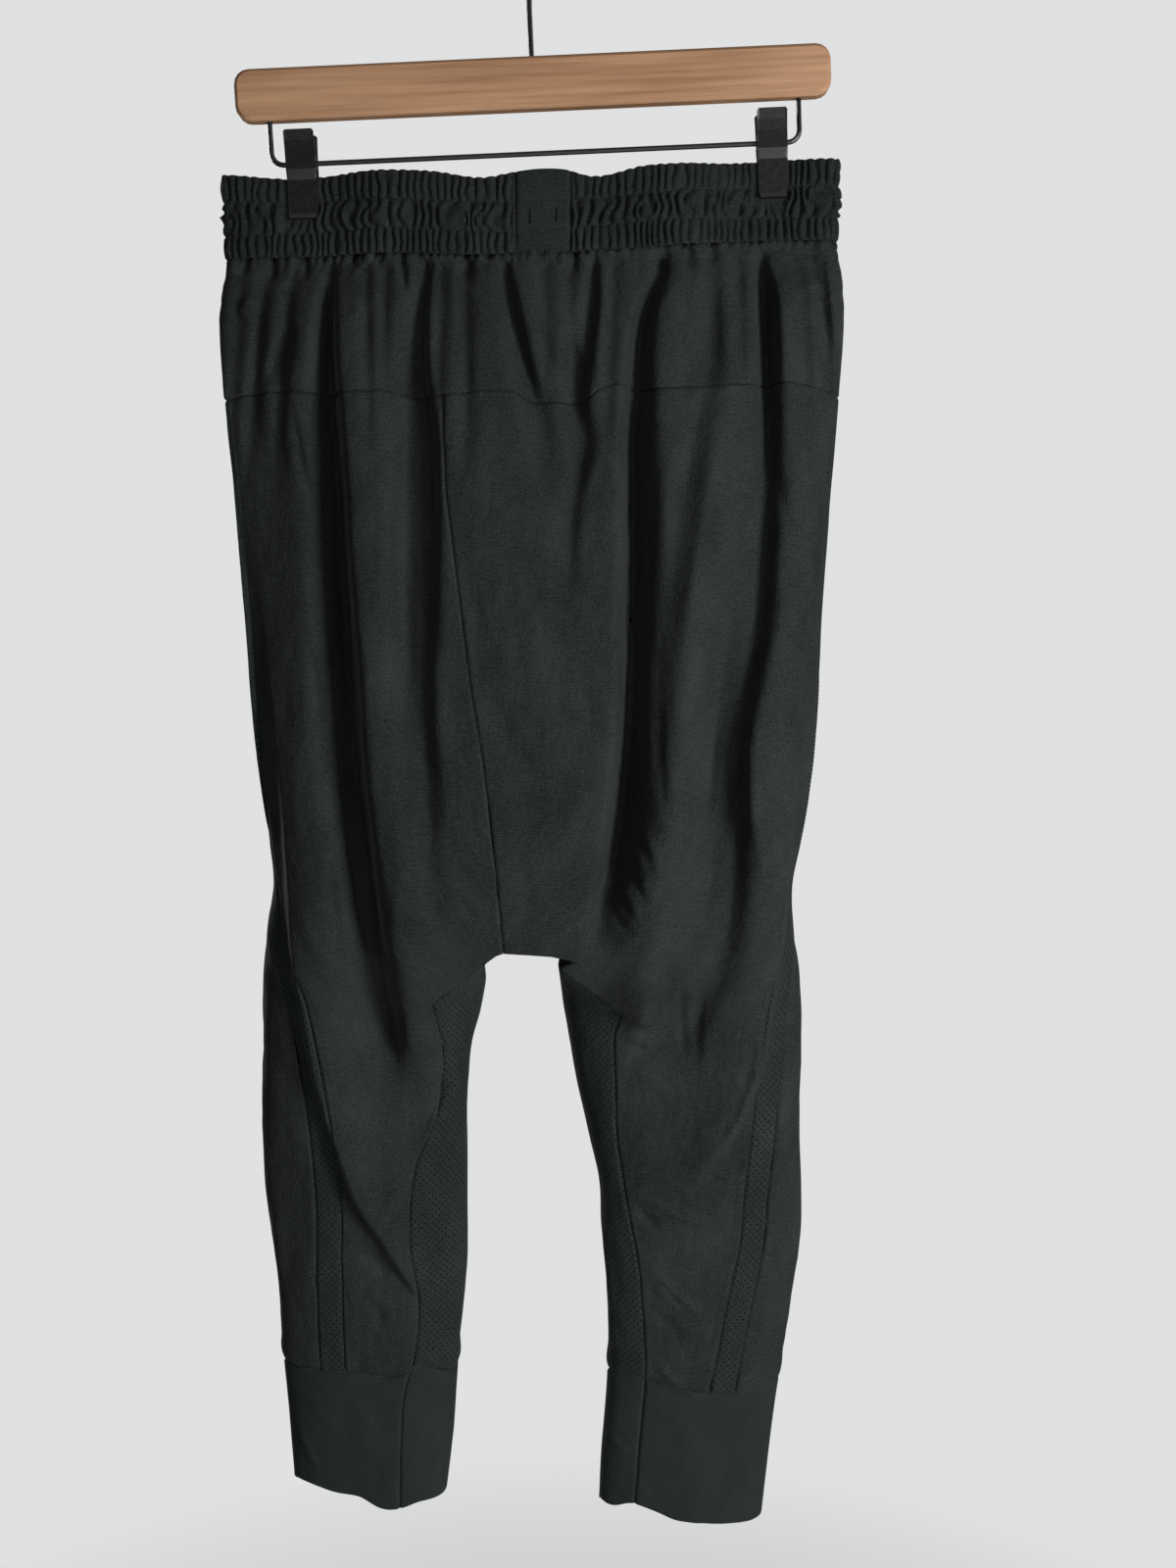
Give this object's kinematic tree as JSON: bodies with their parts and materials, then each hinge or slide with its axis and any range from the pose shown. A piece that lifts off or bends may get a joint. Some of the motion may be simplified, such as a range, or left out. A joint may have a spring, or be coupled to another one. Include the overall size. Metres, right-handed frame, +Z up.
{
  "type": "track pants on a clip hanger",
  "caption": "Drop-crotch track pants with a gathered elastic waistband, perforated side strips and inner legs and long cuffs, gripped by the clips of a wooden hanger.",
  "frame": {"origin": "the top of the hook's inside, where the rail or nail that holds the hanger touches it", "axes": "+Z up, +X to the right as the front is looked at, and the wearer's front faces -Y"},
  "size_m": [0.4234, 0.1047, 1.119],
  "materials": {
    "body_cloth": "matt, fine plain weave, dark green-grey",
    "waistband_cloth": "matt, the body cloth gathered over elastic",
    "perforated_cloth": "matt, finely perforated",
    "cuff_cloth": "matt, smooth knit with a cut edge",
    "hanger_wood": "pale wood under a thin satin varnish",
    "black_metal": "satin black"
  },
  "bodies": {
    "root": {"hanger_bar": "hanger_wood", "hanger_hook": "black_metal", "hanger_rod": "black_metal", "clip_left_front": "black_metal", "clip_left_back": "black_metal", "clip_left_spring": "black_metal", "clip_right_front": "black_metal", "clip_right_back": "black_metal", "clip_right_spring": "black_metal", "waistband": "waistband_cloth", "waist_front_panel": "waistband_cloth", "yoke_front": "body_cloth", "yoke_back": "body_cloth", "front_left": "body_cloth", "front_right": "body_cloth", "back_left": "body_cloth", "back_right": "body_cloth", "side_strip_left": "perforated_cloth", "side_strip_right": "perforated_cloth", "inner_leg_left": "perforated_cloth", "inner_leg_right": "perforated_cloth", "cuff_left": "cuff_cloth", "cuff_right": "cuff_cloth"}
  },
  "joints": []
}
